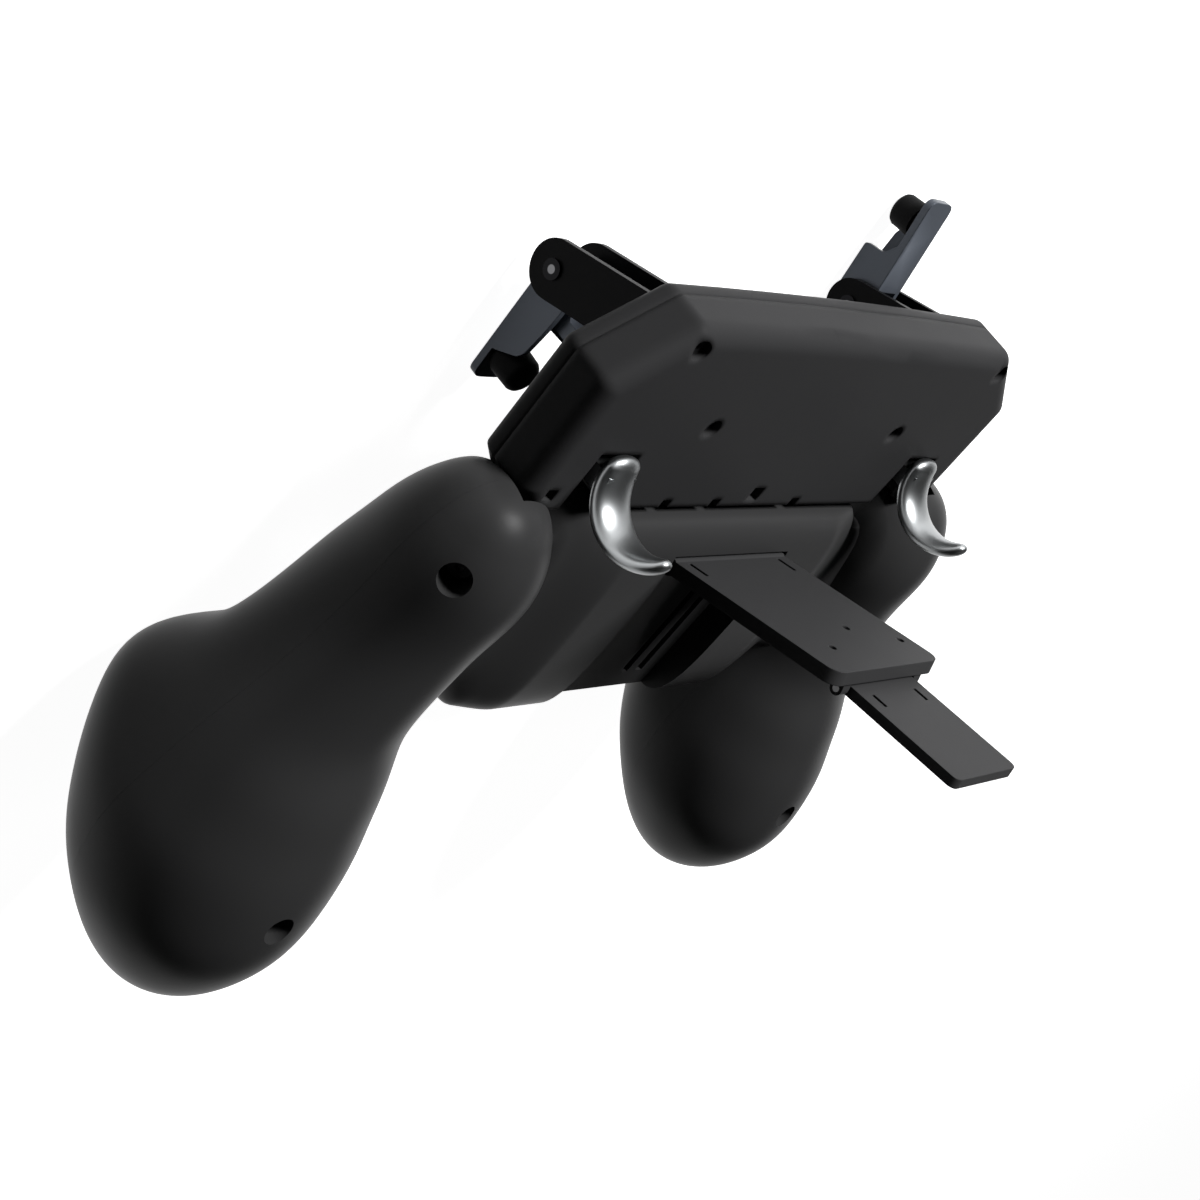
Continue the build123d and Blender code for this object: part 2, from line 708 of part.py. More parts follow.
def grip_shells():
    """Back and front shell of the right grip, parted at the seam, with the screws' seats."""
    body = horn()
    big = 2 * house_half_width
    tall = (horn_top - horn_length - overrun, horn_top + overrun)
    back = body & block((0, big), (horn_seam_y, big), tall)
    front = body & block((0, big), (-big, horn_seam_y), tall)
    for place in grip_screw_places:
        seat = grip_screw_seat(place)
        back -= grip_screw_frame(place, rod_y_axis(0, (seat, seat + big), 0, grip_screw_radius))
        shank = grip_screw_frame(place, rod_y_axis(0, (-grip_screw_depth, seat + overrun), 0, grip_screw_shank))
        back -= shank
        front -= shank
    return back, front


def grip_screw(place):
    seat = grip_screw_seat(place)
    head = rod_y_axis(0, (seat, seat + grip_screw_shank), 0, grip_screw_head)
    shank = rod_y_axis(0, (-grip_screw_depth, seat), 0, grip_screw_shank - screw_clearance)
    socket = rod_y_axis(0, (seat + screw_socket_depth, seat + house_depth), 0, screw_socket_radius)
    return grip_screw_frame(place, head + shank - socket)


def build():
    nodes = {}
    nodes["clamp_back_shell"] = house_shell()
    nodes["clamp_front_lid"] = house_lid()
    nodes["clamp_face_pad"] = face_pad()
    nodes["clamp_screws"] = [small_screw(x, z) for x, z in screw_places()]
    nodes["clamp_slider"] = slider()
    nodes["bridge_back_cover"] = bridge_back_cover()
    nodes["bridge_front_cover"] = bridge_front_cover()
    nodes["jaw_pad"] = jaw_pad()
    nodes["stand_leg"] = leg()
    nodes["stand_leaf"] = leaf()
    nodes["stand_leg_pin"] = leg_pin()
    nodes["stand_leaf_pin"] = leaf_pin()
    back, front = grip_shells()
    screws = [grip_screw(place) for place in grip_screw_places]
    nodes["grip_screws"] = screws + [mirrored(s) for s in screws]
    sides = {
        "grip_back": back, "grip_front": front, "trigger": trigger(), "trigger_pin": trigger_pin(),
        "push_rod": push_rod(), "bracket": bracket(), "arm_pin": arm_pin(), "rocker": rocker(),
        "touch_arm": touch_arm(), "touch_pad": touch_pad(),
    }
    for name, body in sides.items():
        nodes[name + "_right"] = body
        left = mirrored(body)
        if name in ("touch_arm", "touch_pad"):
            left = hinge_turn(left, arm_pin_y, arm_pin_z, -arm_flip)
        nodes[name + "_left"] = left
    nodes["clamp_spring_right"] = clamp_spring(1)
    nodes["clamp_spring_left"] = clamp_spring(-1)
    return nodes


def stance(nodes):
    """Turn that lays the controller down, then centres it on the floor."""
    turn = Rot(X=90 - lean)
    boxes = [(turn * piece).bounding_box() for body in nodes.values()
             for piece in (body if isinstance(body, list) else [body])]
    floor = min(box.min.Z for box in boxes)
    middle = (min(box.min.Y for box in boxes) + max(box.max.Y for box in boxes)) / 2
    return Pos(0, -middle, -floor) * turn


def main():
    os.makedirs("parts", exist_ok=True)
    nodes = build()
    lay = stance(nodes)
    for name, body in nodes.items():
        pieces = body if isinstance(body, list) else [body]
        solids = [solid for piece in pieces for solid in (lay * piece).solids()]
        export_step(solids[0] if len(solids) == 1 else Compound(children=solids), f"parts/{name}.step")


main()
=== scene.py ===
"""Looks of the clip-on phone controller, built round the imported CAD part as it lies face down.

The CAD part's own axes are used for every size below, in millimetres: X to the player's right,
Y from the screen to the back, Z up along the clamp housing. One matrix takes them to the row.
"""
import json

import bmesh
import bpy
import numpy as np
from math import cos, pi, radians, sin
from mathutils import Matrix, Vector


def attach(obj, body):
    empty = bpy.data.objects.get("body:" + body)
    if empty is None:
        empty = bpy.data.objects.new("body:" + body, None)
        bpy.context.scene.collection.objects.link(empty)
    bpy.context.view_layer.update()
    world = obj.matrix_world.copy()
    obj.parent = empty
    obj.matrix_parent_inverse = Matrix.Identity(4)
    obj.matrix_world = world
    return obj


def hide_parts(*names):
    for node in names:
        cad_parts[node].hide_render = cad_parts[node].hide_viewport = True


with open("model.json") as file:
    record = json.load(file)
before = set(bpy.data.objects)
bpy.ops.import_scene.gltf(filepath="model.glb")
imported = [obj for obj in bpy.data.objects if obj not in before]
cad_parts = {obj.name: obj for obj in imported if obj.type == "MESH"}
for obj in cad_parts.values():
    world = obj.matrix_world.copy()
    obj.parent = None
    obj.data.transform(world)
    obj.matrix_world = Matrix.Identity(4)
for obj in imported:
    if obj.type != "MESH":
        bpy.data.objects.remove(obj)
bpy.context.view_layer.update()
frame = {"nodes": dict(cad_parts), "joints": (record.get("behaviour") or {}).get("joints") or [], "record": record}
MM = 0.001

# How the part lies, read from the stand's hinge, which the CAD part puts at these two values
LEAN = 3.19
HINGE_Y = 4.6
HINGE_Z = -11.1


def joint_place(name):
    """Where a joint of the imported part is, in metres."""
    for joint in frame["joints"]:
        if joint["name"] == name:
            return Vector(joint["pos_m"])
    raise KeyError(name)


def part_to_row():
    """Matrix from the part's axes in millimetres to the row's axes in metres."""
    turn = Matrix.Rotation(radians(90 - LEAN), 4, "X") @ Matrix.Scale(MM, 4)
    hinge = turn @ Vector((0, HINGE_Y, HINGE_Z))
    return Matrix.Translation(joint_place("stand_leg_hinge") - hinge) @ turn


TO_ROW = part_to_row()
UNTURN = TO_ROW.to_3x3().normalized()

# Used by several pieces
OVERRUN = 3.0
ROD_SPOKES = 48
CREASE_ANGLE = 35.0

# Grips: level ovals from the shoulder to the round end, as shares of the CAD part's own sizes
HORN_TOP = 3.4
HORN_LENGTH = 120.8
SHOULDER_OUT = 66.6
HORN_SPREAD = 14.0
SHOULDER_SET = -3.4
SET_SWING = 8.0
BULB_HALF_WIDTH = 27.2
BULB_HALF_DEPTH = 27.6
HEIGHT_SHARES = (0, 0.02, 0.07, 0.144, 0.276, 0.392, 0.464, 0.51, 0.56, 0.66, 0.773, 0.889, 0.964, 1)
OUT_SHARES = (0, 0, 0, 0, 0.186, 0.457, 0.6, 0.66, 0.72, 0.84, 0.92, 0.98, 1, 1)
SET_SHARES = (0, 0, 0, -0.08, -0.33, -0.36, -0.36, -0.5, -0.53, -0.25, 0.25, 0.7, 0.9, 0.95)
WIDTH_SHARES = (0, 0.294, 0.47, 0.574, 0.61, 0.684, 0.78, 0.85, 0.915, 0.99, 0.925, 0.684, 0.397, 0)
DEPTH_SHARES = (0, 0.29, 0.464, 0.572, 0.609, 0.638, 0.68, 0.84, 0.93, 0.995, 0.93, 0.688, 0.399, 0)
BROW_SHARE = 0.53
BROW_REACH_SHARE = 0.09
BROW_SQUARENESS = 0.9
FAIRING_REACH = 0.065
FAIRING_STEPS = 21
HORN_SEAM = -4.0
SEAM_HALF_GAP = 0.012
HORN_RINGS = 150
HORN_SPOKES = 128

# Wells of the grips' screws: X, Y and Z of each, its turn about Z, and how far out its seat is
SCREW_WELLS = ((66.6, -3.6, -10.4, 50.0, 8.8), (79.2, -2.0, -83.0, 1.5, 19.0))
WELL_RADIUS = 3.0
WELL_LONG = 40.0

# Room that the grips leave for the clamp housing and the pad on its face
HOUSE_HALF_WIDTH = 66.8
HOUSE_DEPTH = 13.7
HOUSE_GAP = 0.6
FACE_PAD = 1.0
HOUSE_ROOM_TOP = 30.0

# Trigger claws: ovals along an arc, closed by a dome at the root, with a stem, a hub and a tail
CLAW_OFFSET = 50.2
CLAW_Y = 11.3
CLAW_Z = 12.3
CLAW_MID_RADIUS = 9.8
CLAW_HALF_WIDTH = 4.9
CLAW_HALF_THICKNESS = 2.2
CLAW_ROOT_ANGLE = -178.0
CLAW_TIP_ANGLE = -30.0
CLAW_ARC_SHARES = (-0.085, -0.05, 0, 0.2, 0.4, 0.6, 0.8, 0.93, 1, 1.02)
CLAW_WIDTH_SHARES = (0, 0.66, 0.88, 0.98, 1, 0.93, 0.76, 0.52, 0.28, 0)
CLAW_THICK_SHARES = (0, 0.62, 0.86, 1, 1, 0.96, 0.82, 0.64, 0.4, 0)
CLAW_RINGS = 90
CLAW_SPOKES = 56
HUB_Y = -5.8
HUB_Z = 8.0
HUB_RADIUS = 2.6
HUB_BORE = 1.26
STEM_HALF_WIDTH = 3.6
STEM_BACK = 3.3
TAIL_LONG = 3.4
TAIL_X = (45.9, 49.8)

# Touch arms: a web and two walls on the arm's pin. The walls' outlines are in Y and Z
ARM_OFFSET = 47.0
ARM_PIN_Y = -31.6
ARM_PIN_Z = 25.9
ARM_PIN_BORE = 1.31
ARM_HUB_RADIUS = 3.0
ARM_HALF_WIDTH = 4.15
ARM_WALL = 1.2
ARM_FRONT = -34.9
ARM_BACK = -26.0
ARM_WEB_BACK = -33.3
ARM_WEB_TOP = 20.5
ARM_TIP = -1.0
ARM_TOP_ROUND = 0.4
ARM_TIP_ROUND = 2.2
ARM_CORNER_STEPS = 6
ARM_FLIP = 171.0
WALL_FRONT_TOP = (ARM_FRONT, ARM_PIN_Z)
WALL_BACK_TOP = (ARM_BACK, ARM_PIN_Z)
OUTER_WALL_FOOT = ((ARM_FRONT, 5.4), (-33.2, 5.9), (-27.4, 9.2), (-26.4, 17.0))
OUTER_WALL_ROUNDS = (3.0, 0.5, 0.8, 1.8, 3.0, 2.4)
INNER_WALL_FOOT = ((ARM_FRONT, 10.0), (-33.2, 10.6), (-31.2, 13.4), (-26.4, 13.8))
INNER_WALL_ROUNDS = (3.0, 0.5, 0.8, 1.2, 0.8, 2.4)

# Touch pads: Z of the centre, then how far out from the web each circle is, and its radius
PAD_CENTRE = 5.0
PAD_PROFILE = ((0.0, 3.2), (0.9, 3.2), (1.0, 3.75), (5.7, 3.6), (6.3, 3.3), (6.65, 2.8), (6.75, 2.2))
PAD_SPOKES = 48

# Bridge between the grips, drawn out into a neck with a collar at each shoulder
BRIDGE_TOP = -2.0
BRIDGE_LOW = -54.5
BRIDGE_FRONT = -11.0
BRIDGE_BACK = 6.0
BRIDGE_SEAM = -7.0
BRIDGE_HALF = 33.0
BLOCK_HALF = 41.2
BRIDGE_SQUARENESS = 3.4
BRIDGE_FRONT_SQUARENESS = 7.0
BRIDGE_STATIONS = 180
BRIDGE_SPOKES = 120
NECK_TOP = -8.4
NECK_LOW = -47.0
NECK_BACK = 2.2
NECK_FRONT = -10.0
NECK_SQUARENESS = 2.8
NECK_START = 50.0
NECK_END = 62.0
NECK_FALL = 0.8
COLLAR_START = 50.0
COLLAR_SWELL = 1.6
POCKET_HALF_WIDTH = 18.6
POCKET_TOP = -8.4
POCKET_FLOOR = -0.3
POCKET_GROOVES = (-13.4, -8.6, 8.6, 13.4)
GROOVE_HALF_WIDTH = 1.1
GROOVE_DEPTH = 1.6
GROOVE_LOW = -50.0
GROOVE_HIGH = -24.0
GROOVE_OVERRUN = 1.0

# Rooms in the bridge for the slider and its two lugs
SLIDER_HALF_WIDTH = 27.15
SLIDER_BACK = -3.95
SLIDER_LOW = -51.5
LUG_X = (26.0, 41.15)
LUG_BACK = -2.4
LUG_Z = (-50.5, -1.4)

# Materials: colour, roughness, metal, specular, grain, unevenness of the gloss, and rounding of the
# edges in millimetres
LOOKS = {
    "housing": ((0.031, 0.031, 0.032), 0.5, 0.0, 0.03, 0.25, 0.03, 1.6),
    "grip_plastic": ((0.030, 0.030, 0.0305), 0.38, 0.0, 0.07, 0.15, 0.03, 0.0),
    "inner_plastic": ((0.02, 0.02, 0.021), 0.45, 0.0, 0.04, 0.2, 0.0, 0.2),
    "stand_plastic": ((0.036, 0.036, 0.037), 0.48, 0.0, 0.04, 0.25, 0.03, 0.25),
    "bracket_plastic": ((0.007, 0.007, 0.0075), 0.38, 0.0, 0.03, 0.0, 0.03, 0.2),
    "arm_plastic": ((0.080, 0.090, 0.108), 0.36, 0.25, 0.15, 0.1, 0.0, 0.3),
    "rubber": ((0.008, 0.008, 0.0082), 0.6, 0.0, 0.04, 0.3, 0.0, 0.2),
    "chrome": ((0.30, 0.31, 0.315), 0.36, 1.0, 0.5, 0.0, 0.03, 0.0),
    "screw_steel": ((0.05, 0.05, 0.052), 0.35, 0.8, 0.5, 0.0, 0.0, 0.0),
    "pin_steel": ((0.09, 0.09, 0.092), 0.34, 1.0, 0.5, 0.0, 0.02, 0.0),
    "spring_steel": ((0.5, 0.5, 0.51), 0.3, 1.0, 0.5, 0.0, 0.0, 0.0),
}
BEVEL_SAMPLES = 6
GRAIN_SCALE = 1400.0
GRAIN_DETAIL = 3
GRAIN_HEIGHT = 0.05
CLOUD_SCALE = 60
CLOUD_DETAIL = 5
LEAST_ROUGHNESS = 0.02

# Head of the arms' pins: a bright end inside a dark collar
PIN_LOOK = ((0.10, 0.10, 0.104), 0.25, 1.0, 0.5, 0.0, 0.02, 0.0)
PIN_COLLAR = (0.006, 0.006, 0.0065)
PIN_END_RADIUS = 0.75
PIN_EDGE_SPREAD = 1.15

# Floor with its edge turned up as a low backdrop. Its size and height are in metres
FLOOR_SIZE = 9.0
BACKDROP_HEIGHT = 3.2
FLOOR_GLOW = 0.965
FLOOR_TONE = 0.86
FLOOR_BOUNCE = 0.04
FLOOR_ROUGHNESS = 0.9
WHITE_RAYS = ("Is Camera Ray", "Is Glossy Ray", "Is Transmission Ray")

# Lights: where each is seen from the part, how far away, how wide, and how strong
ROOM_LIGHT = 0.006
LIGHT_AIM = (0, 0, -20)
LAMPS = (("key", (-0.16, 0.43, 0.89), 900, 280, 13.0), ("fill", (-0.5, 1.0, -0.3), 1200, 900, 0.4))

# Camera in the part's axes, as fitted to the photograph. What it clips is in metres
CAMERA_PLACE = (328.6, 153.9, 168.4)
CAMERA_RIGHT = (-0.6257, 0.5409, 0.5621)
CAMERA_DOWN = (0.0466, 0.7452, -0.6652)
CAMERA_VIEW = (-0.7787, -0.3900, -0.4915)
LENS = 62.9
SENSOR_WIDTH = 36
CLIP_START = 0.01
CLIP_END = 30


# Curves

def smooth_curve(heights, values, wanted):
    """Monotone cubic through points whose heights fall, so that a row of ovals has no ripples."""
    x = np.array(heights[::-1])
    y = np.array(values[::-1])
    step = np.diff(x)
    slope = np.diff(y) / step
    tangent = np.zeros(len(x))
    for i in range(1, len(x) - 1):
        if slope[i - 1] * slope[i] > 0:
            a = 2 * step[i] + step[i - 1]
            b = step[i] + 2 * step[i - 1]
            tangent[i] = (a + b) / (a / slope[i - 1] + b / slope[i])
    tangent[0] = slope[0]
    tangent[-1] = slope[-1]
    k = np.clip(np.searchsorted(x, wanted) - 1, 0, len(step) - 1)
    t = (wanted - x[k]) / step[k]
    return ((2 * t**3 - 3 * t**2 + 1) * y[k] + (t**3 - 2 * t**2 + t) * step[k] * tangent[k]
            + (3 * t**2 - 2 * t**3) * y[k + 1] + (t**3 - t**2) * step[k] * tangent[k + 1])


def faired(heights, values, share):
    """The same curve averaged over a short stretch that narrows to nothing at both ends."""
    reach = min(FAIRING_REACH, share, 1 - share)
    steps = np.linspace(-1, 1, FAIRING_STEPS)
    weights = (1 - steps**2) ** 2
    found = [smooth_curve(heights, values, -(share + reach * step)) for step in steps]
    return float(np.dot(weights, found) / weights.sum())


def squares(shares):
    """Squares of half sizes. A curve through them closes roundly where they reach nothing."""
    return [v * v for v in shares]


def rooted(square):
    """Half size from a curve through squares."""
    return np.sqrt(max(square, 0))


def ease(t):
    """Smooth step from 0 to 1."""
    t = min(max(t, 0.0), 1.0)
    return t * t * (3 - 2 * t)


def end_weighted(count):
    """Shares from 0 to 1 that crowd towards both ends, without the ends themselves."""
    turns = np.linspace(0, pi, count)[1:-1]
    return (1 - np.cos(turns)) / 2


def ring_angles(count):
    """Even turns round a ring."""
    return [2 * pi * k / count for k in range(count)]


def squared_circle(a, power):
    """Point of a circle, drawn out towards a square as the power rises above 2."""
    across = np.sign(cos(a)) * abs(cos(a)) ** (2 / power)
    along = np.sign(sin(a)) * abs(sin(a)) ** (2 / power)
    return across, along


def rounded(points, rounds):
    """Closed outline with each corner eased over its own length."""
    outline = []
    for k, corner in enumerate(points):
        here = Vector(corner)
        before = here + (Vector(points[k - 1]) - here).normalized() * rounds[k]
        after = here + (Vector(points[(k + 1) % len(points)]) - here).normalized() * rounds[k]
        for step in range(ARM_CORNER_STEPS + 1):
            t = step / ARM_CORNER_STEPS
            outline.append(before * (1 - t) ** 2 + here * 2 * t * (1 - t) + after * t ** 2)
    return outline


# Meshes

def new_object(name, data):
    """Object in the scene that shows a given mesh, light or camera."""
    obj = bpy.data.objects.new(name, data)
    bpy.context.scene.collection.objects.link(obj)
    return obj


def finish_mesh(name, bm, smooth=True):
    """Turn the part's millimetres into the row's metres and make the object."""
    bm.transform(TO_ROW)
    mesh = bpy.data.meshes.new(name)
    bm.to_mesh(mesh)
    bm.free()
    mesh.polygons.foreach_set("use_smooth", [smooth] * len(mesh.polygons))
    return new_object(name, mesh)


def skin(rings):
    """Closed skin through rings of points, each end drawn together in a fan."""
    bm = bmesh.new()
    loops = [[bm.verts.new(point) for point in ring] for ring in rings]
    count = len(loops[0])
    for upper, lower in zip(loops, loops[1:]):
        for k in range(count):
            n = (k + 1) % count
            bm.faces.new((upper[k], upper[n], lower[n], lower[k]))
    for loop in (loops[0], loops[-1]):
        pole = bm.verts.new(sum((v.co for v in loop), Vector()) / count)
        for k in range(count):
            bm.faces.new((loop[k], loop[(k + 1) % count], pole))
    bmesh.ops.recalc_face_normals(bm, faces=bm.faces)
    return bm


def trim(bm, level, keep_back):
    """Cut a closed skin level with one depth, keep one side of it, and close that side."""
    geometry = bm.verts[:] + bm.edges[:] + bm.faces[:]
    bmesh.ops.bisect_plane(bm, geom=geometry, plane_co=(0, level, 0), plane_no=(0, 1, 0),
                           clear_inner=keep_back, clear_outer=not keep_back)
    bmesh.ops.edgeloop_fill(bm, edges=[e for e in bm.edges if e.is_boundary])
    bmesh.ops.recalc_face_normals(bm, faces=bm.faces)


def cut_with(obj, cutter, name, operation="DIFFERENCE"):
    """Cut a body away, or join it on, and drop the cutter."""
    cut = obj.modifiers.new(name, "BOOLEAN")
    cut.operation = operation
    cut.solver = "EXACT"
    cut.object = cutter
    depsgraph = bpy.context.evaluated_depsgraph_get()
    mesh = bpy.data.meshes.new_from_object(obj.evaluated_get(depsgraph))
    obj.modifiers.clear()
    obj.data = mesh
    bpy.data.objects.remove(cutter)


def rod(name, place, direction, radius, length):
    """Rod in the row frame from a place in the part's axes, running along a direction in them."""
    bm = bmesh.new()
    bmesh.ops.create_cone(bm, cap_ends=True, segments=ROD_SPOKES, radius1=radius, radius2=radius,
                          depth=length)
    turn = Vector((0, 0, 1)).rotation_difference(Vector(direction)).to_matrix().to_4x4()
    middle = Vector(place) + Vector(direction).normalized() * length / 2
    bm.transform(Matrix.Translation(middle) @ turn)
    return finish_mesh(name, bm, smooth=False)


def brick(name, x, y, z):
    """Box in the row frame between values in the part's axes."""
    bm = bmesh.new()
    bmesh.ops.create_cube(bm, size=1)
    size = Matrix.Diagonal((abs(x[1] - x[0]), abs(y[1] - y[0]), abs(z[1] - z[0]), 1))
    bm.transform(Matrix.Translation((sum(x) / 2, sum(y) / 2, sum(z) / 2)) @ size)
    return finish_mesh(name, bm, smooth=False)


def slab(name, outline, span, place):
    """Plate with a given outline, between two values along the axis that the outline leaves out."""
    bm = bmesh.new()
    near, far = [[bm.verts.new(place(u, v, w)) for u, v in outline] for w in span]
    bm.faces.new(near)
    bm.faces.new(list(reversed(far)))
    for k in range(len(outline)):
        n = (k + 1) % len(outline)
        bm.faces.new((near[k], far[k], far[n], near[n]))
    bmesh.ops.recalc_face_normals(bm, faces=bm.faces)
    return finish_mesh(name, bm, smooth=False)


def sharpen(obj):
    """Smooth shading that keeps the corners crisp."""
    bm = bmesh.new()
    bm.from_mesh(obj.data)
    for face in bm.faces:
        face.smooth = True
    for edge in bm.edges:
        if len(edge.link_faces) == 2 and edge.calc_face_angle(0) > radians(CREASE_ANGLE):
            edge.smooth = False
    bm.to_mesh(obj.data)
    bm.free()


# Pieces

def horn_ring(side, share):
    """Points of one oval: round, but squared in front at the brow where the bulb starts."""
    heights = [-v for v in HEIGHT_SHARES]
    out = faired(heights, OUT_SHARES, share)
    swing = faired(heights, SET_SHARES, share)
    wide = BULB_HALF_WIDTH * rooted(faired(heights, squares(WIDTH_SHARES), share))
    deep = BULB_HALF_DEPTH * rooted(faired(heights, squares(DEPTH_SHARES), share))
    power = 2 + BROW_SQUARENESS * np.exp(-((share - BROW_SHARE) / BROW_REACH_SHARE) ** 2)
    points = []
    for a in ring_angles(HORN_SPOKES):
        x, y = squared_circle(a, power if sin(a) < 0 else 2)
        points.append((side * (SHOULDER_OUT + HORN_SPREAD * out + wide * x),
                       SHOULDER_SET + SET_SWING * swing + deep * y, HORN_TOP - HORN_LENGTH * share))
    return points


def well_direction(turn, side):
    """Way that a screw's well faces on one side."""
    a = radians(turn)
    return (side * sin(a), cos(a), 0)


def grip(side, word):
    """Both shells of one grip, parted by a hairline, with the wells of their screws."""
    for shell, keep_back in (("back", True), ("front", False)):
        bm = skin([horn_ring(side, float(share)) for share in end_weighted(HORN_RINGS)])
        trim(bm, HORN_SEAM + (SEAM_HALF_GAP if keep_back else -SEAM_HALF_GAP), keep_back)
        obj = finish_mesh(f"grip_{shell}_skin_{word}", bm)
        reach = sorted((side * (HOUSE_HALF_WIDTH + HOUSE_GAP), 0))
        depth = (-HOUSE_DEPTH - HOUSE_GAP - FACE_PAD, HOUSE_GAP)
        cut_with(obj, brick("room", reach, depth, (-HOUSE_GAP, HOUSE_ROOM_TOP)), "housing_room")
        if keep_back:
            for x, y, z, turn, seat in SCREW_WELLS:
                way = Vector(well_direction(turn, side))
                start = Vector((side * x, y, z)) + way * seat
                cut_with(obj, rod("well", start, way, WELL_RADIUS, WELL_LONG), "screw_well")
        sharpen(obj)
        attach(obj, "frame")
        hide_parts(f"grip_{shell}_{word}")
        paint(obj, "grip_plastic")


def claw_ring(side, share):
    """Points of one oval across the claw's arc."""
    arc = [-v for v in CLAW_ARC_SHARES]
    wide = CLAW_HALF_WIDTH * rooted(smooth_curve(arc, squares(CLAW_WIDTH_SHARES), -share))
    thick = CLAW_HALF_THICKNESS * rooted(smooth_curve(arc, squares(CLAW_THICK_SHARES), -share))
    angle = radians(CLAW_ROOT_ANGLE + (CLAW_TIP_ANGLE - CLAW_ROOT_ANGLE) * share)
    points = []
    for a in ring_angles(CLAW_SPOKES):
        x = side * (CLAW_OFFSET + wide * cos(a))
        reach = CLAW_MID_RADIUS + thick * sin(a)
        points.append((x, CLAW_Y + reach * cos(angle), CLAW_Z + reach * sin(angle)))
    return points


def claw(side, word):
    """Claw with its stem, hub and tail, on the trigger's own axle."""
    first = CLAW_ARC_SHARES[0]
    last = CLAW_ARC_SHARES[-1]
    shares = first + (last - first) * end_weighted(CLAW_RINGS)
    obj = finish_mesh(f"claw_{word}", skin([claw_ring(side, float(share)) for share in shares]))
    across = sorted((side * (CLAW_OFFSET - STEM_HALF_WIDTH), side * (CLAW_OFFSET + STEM_HALF_WIDTH)))
    stem = brick("stem", across, (HUB_Y, STEM_BACK), (HUB_Z - HUB_RADIUS / 2, HUB_Z + HUB_RADIUS))
    cut_with(obj, stem, "stem", "UNION")
    inner = side * CLAW_OFFSET - CLAW_HALF_WIDTH
    hub = rod("hub", (inner, HUB_Y, HUB_Z), (1, 0, 0), HUB_RADIUS, 2 * CLAW_HALF_WIDTH)
    cut_with(obj, hub, "hub", "UNION")
    tail_x = sorted(side * v for v in TAIL_X)
    tail = brick("tail", tail_x, (HUB_Y - TAIL_LONG, HUB_Y), (HUB_Z, HUB_Z + HUB_RADIUS))
    cut_with(obj, tail, "tail", "UNION")
    bore = rod("bore", (inner - OVERRUN, HUB_Y, HUB_Z), (1, 0, 0), HUB_BORE, 2 * (CLAW_HALF_WIDTH + OVERRUN))
    cut_with(obj, bore, "bore")
    sharpen(obj)
    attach(obj, f"trigger_{word}")
    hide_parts(f"trigger_{word}")
    paint(obj, "chrome")


def arm_placer(side, flip):
    """Rule that sets a place on a hanging arm on its side, turned about the arm's pin."""
    a = radians(-flip)

    def place(x, y, z):
        dy = y - ARM_PIN_Y
        dz = z - ARM_PIN_Z
        turned_y = ARM_PIN_Y + dy * cos(a) - dz * sin(a)
        turned_z = ARM_PIN_Z + dy * sin(a) + dz * cos(a)
        return (side * (ARM_OFFSET + x), turned_y, turned_z)

    return place


def touch_arm(side, word, flip):
    """One touch arm: its web, its two walls with their hubs, and the bore of its pin."""
    place = arm_placer(side, flip)
    half = ARM_HALF_WIDTH
    corners = ((-half, ARM_WEB_TOP), (-half, ARM_TIP), (half, ARM_TIP), (half, ARM_WEB_TOP))
    face = rounded(corners, (ARM_TOP_ROUND, ARM_TIP_ROUND, ARM_TIP_ROUND, ARM_TOP_ROUND))
    obj = slab(f"touch_arm_skin_{word}", face, (ARM_FRONT, ARM_WEB_BACK), lambda u, v, w: place(u, w, v))
    inner = rounded((WALL_FRONT_TOP, *INNER_WALL_FOOT, WALL_BACK_TOP), INNER_WALL_ROUNDS)
    outer = rounded((WALL_FRONT_TOP, *OUTER_WALL_FOOT, WALL_BACK_TOP), OUTER_WALL_ROUNDS)
    for edge, x in ((inner, (-half, -half + ARM_WALL)), (outer, (half - ARM_WALL, half))):
        cut_with(obj, slab("wall", edge, x, lambda u, v, w: place(w, u, v)), "wall", "UNION")
        start = place(x[0], ARM_PIN_Y, ARM_PIN_Z)
        cut_with(obj, rod("hub", start, (side, 0, 0), ARM_HUB_RADIUS, ARM_WALL), "hub", "UNION")
    start = place(-half - OVERRUN, ARM_PIN_Y, ARM_PIN_Z)
    cut_with(obj, rod("bore", start, (side, 0, 0), ARM_PIN_BORE, 2 * (half + OVERRUN)), "bore")
    sharpen(obj)
    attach(obj, f"touch_arm_{word}")
    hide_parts(f"touch_arm_{word}")
    paint(obj, "arm_plastic")


def touch_pad(side, word, flip):
    """Round pad near the tip of one touch arm."""
    place = arm_placer(side, flip)
    turns = ring_angles(PAD_SPOKES)
    rings = []
    for out, radius in PAD_PROFILE:
        y = ARM_WEB_BACK + out
        rings.append([place(radius * cos(a), y, PAD_CENTRE + radius * sin(a)) for a in turns])
    pad = finish_mesh(f"touch_pad_skin_{word}", skin(rings))
    sharpen(pad)
    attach(pad, f"touch_arm_{word}")
    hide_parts(f"touch_pad_{word}")
    paint(pad, "rubber")


